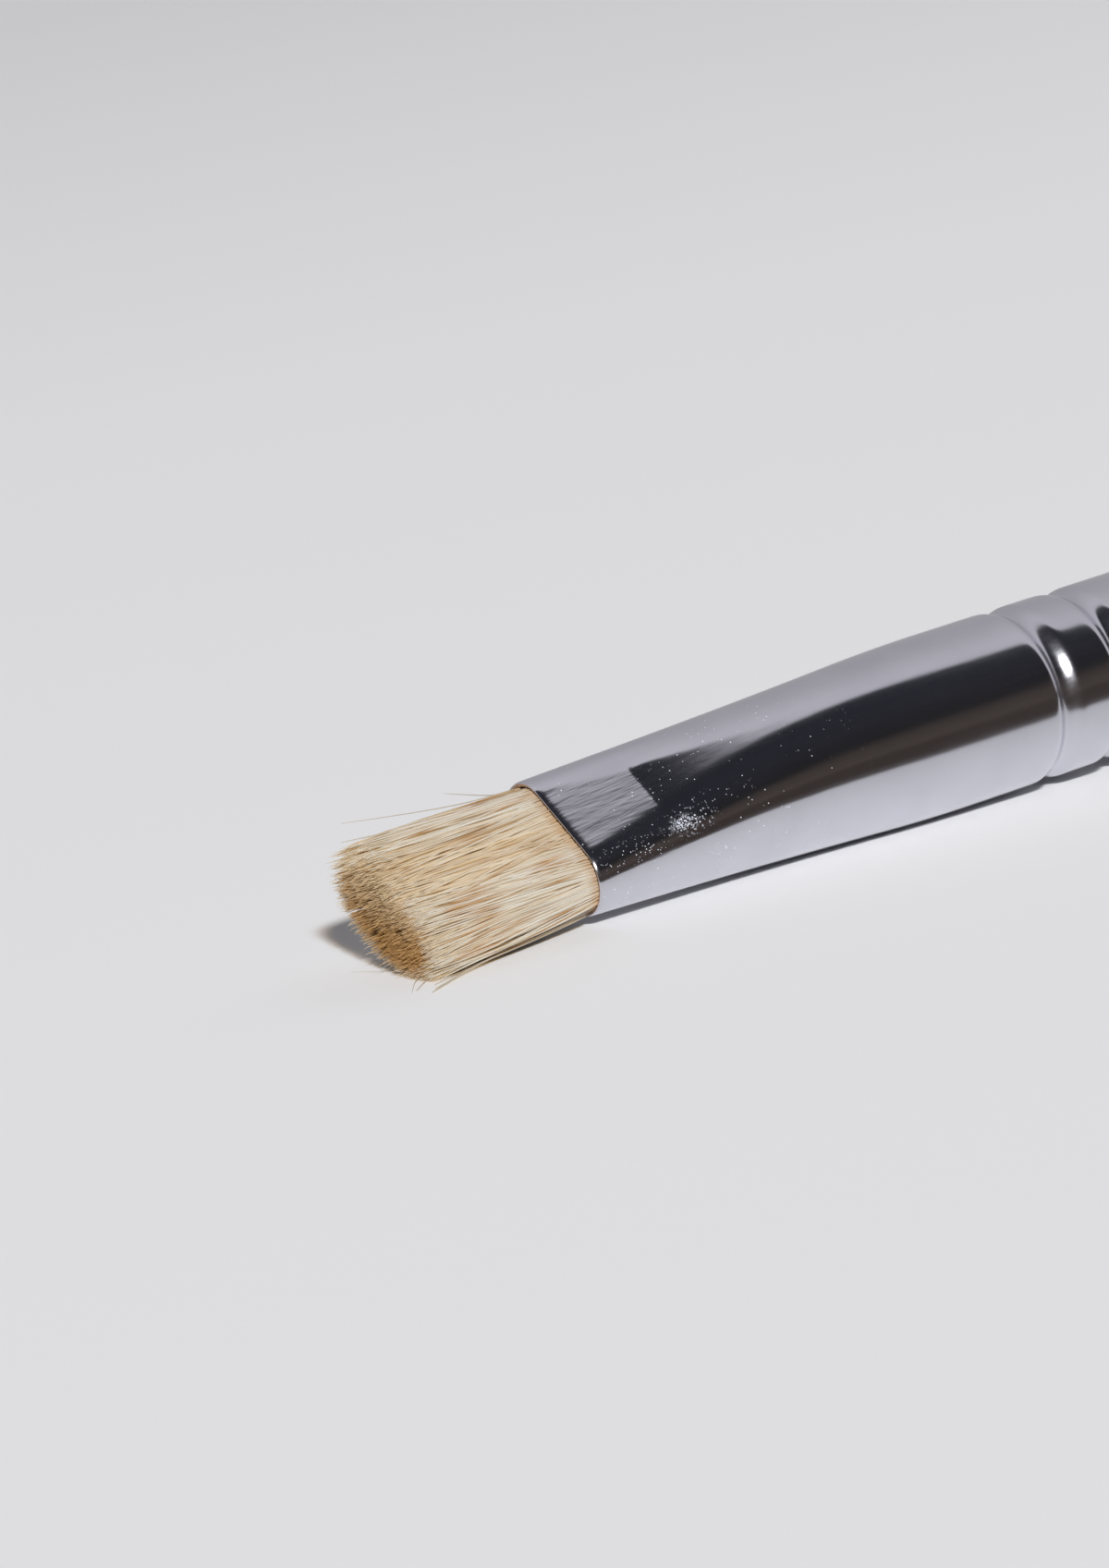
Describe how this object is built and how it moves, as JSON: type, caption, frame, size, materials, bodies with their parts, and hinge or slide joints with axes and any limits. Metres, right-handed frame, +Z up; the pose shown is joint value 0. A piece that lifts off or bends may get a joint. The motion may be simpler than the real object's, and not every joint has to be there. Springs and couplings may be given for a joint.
{
  "type": "eyeshadow brush",
  "caption": "Flat makeup brush with a pressed, crimped metal ferrule, a straight-cut tuft of natural bristle and a turned, lacquered wooden handle.",
  "frame": {"origin": "point on the table under the middle of the brush as it lies at rest", "axes": "+X along the brush from the bristle tips towards the handle's end, +Y across the brush, +Z up from the table. The brush lies at rest: its own axis rises 2.2 degrees towards the handle, and it is rolled 36.6 degrees about that axis, near edge (-Y) of the mouth down."},
  "size_m": [0.1561, 0.0114, 0.0117],
  "materials": {
    "plated_metal": "bright chrome plate on drawn metal",
    "natural_bristle": "cream natural bristle, cut straight",
    "binding_thread": "waxed thread",
    "cast_resin": "cured epoxy",
    "wood_glue": "cured glue",
    "lacquered_wood": "black gloss lacquer on turned hardwood"
  },
  "bodies": {
    "root": {"ferrule": "plated_metal", "bristle_tuft": "natural_bristle", "root_tie": "binding_thread", "epoxy_plug": "cast_resin", "glue_sleeve": "wood_glue", "handle": "lacquered_wood"}
  },
  "joints": []
}
